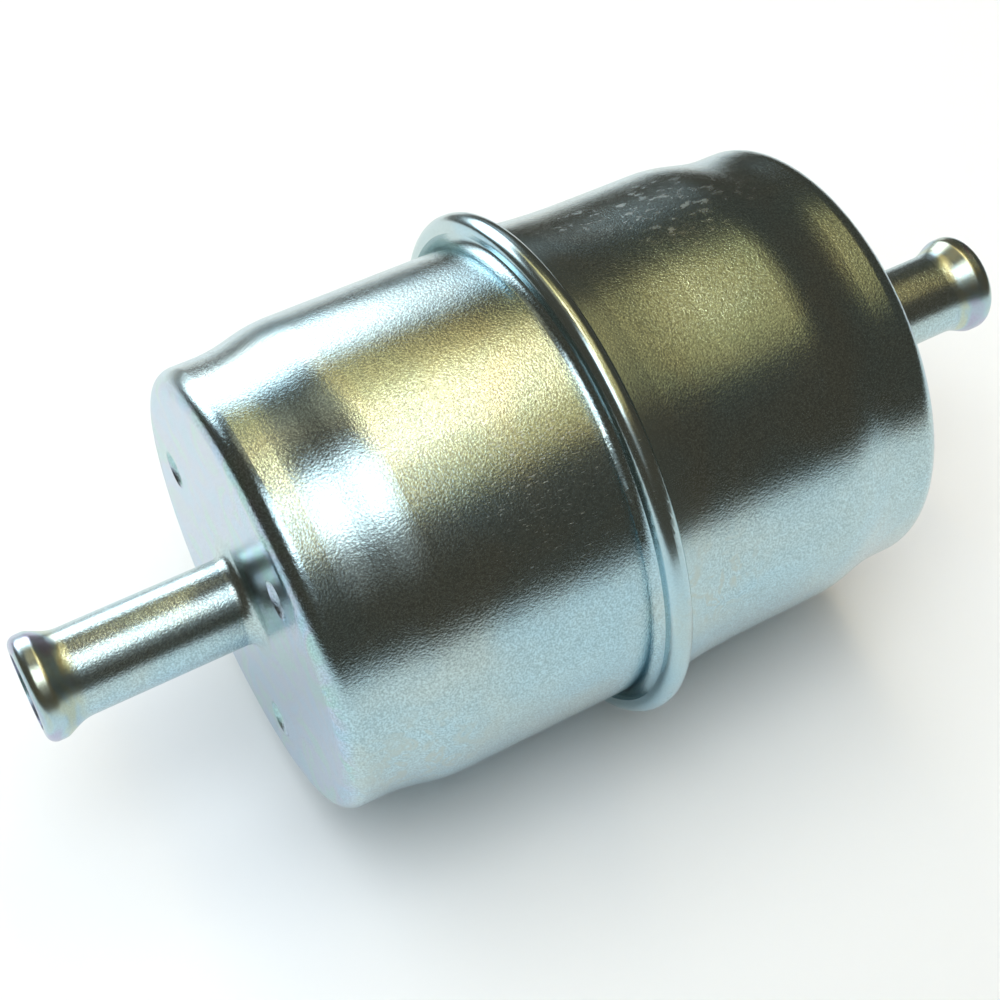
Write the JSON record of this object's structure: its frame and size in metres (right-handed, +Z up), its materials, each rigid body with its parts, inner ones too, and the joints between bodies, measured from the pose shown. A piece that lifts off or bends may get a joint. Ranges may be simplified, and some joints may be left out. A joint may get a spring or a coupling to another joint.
{
  "type": "in-line fuel filter",
  "caption": "In-line metal canister fuel filter with beaded hose necks, a lock-seamed two-part shell and a sprung pleated-paper element inside.",
  "frame": {"origin": "middle of the lock seam, on the filter's axis, which is also the middle of its overall length", "axes": "+X along the filter's axis, from the inlet neck to the outlet neck; +Z up; one end-wall dimple of each shell is 79 degrees round from +Z towards +Y"},
  "size_m": [0.1176, 0.0582, 0.0582],
  "materials": {
    "plated_shell": "bright zinc plate with a clear blue-yellow chromate",
    "seal_rubber": "matt fuel-resistant rubber",
    "spring_steel": "drawn spring wire",
    "cap_steel": "tinplate",
    "potting": "cured plastisol",
    "filter_paper": "resin-treated filter paper"
  },
  "bodies": {
    "casing": {"inlet_shell": "plated_shell", "outlet_shell": "plated_shell", "seam_gasket": "seal_rubber", "outlet_grommet": "seal_rubber", "element_spring": "spring_steel"},
    "element": {"inlet_end_cap": "cap_steel", "outlet_end_cap": "cap_steel", "inlet_potting": "potting", "outlet_potting": "potting", "pleated_paper": "filter_paper", "seam_clip": "cap_steel", "centre_tube": "cap_steel"}
  },
  "joints": [
    {"name": "element_float", "type": "slide", "parent": "casing", "child": "element", "axis": [-1, 0, 0], "range_m": [0, 0.0015], "stiffness_N_per_m": 290, "springref_m": -0.012, "deforming": ["element_spring"]}
  ]
}
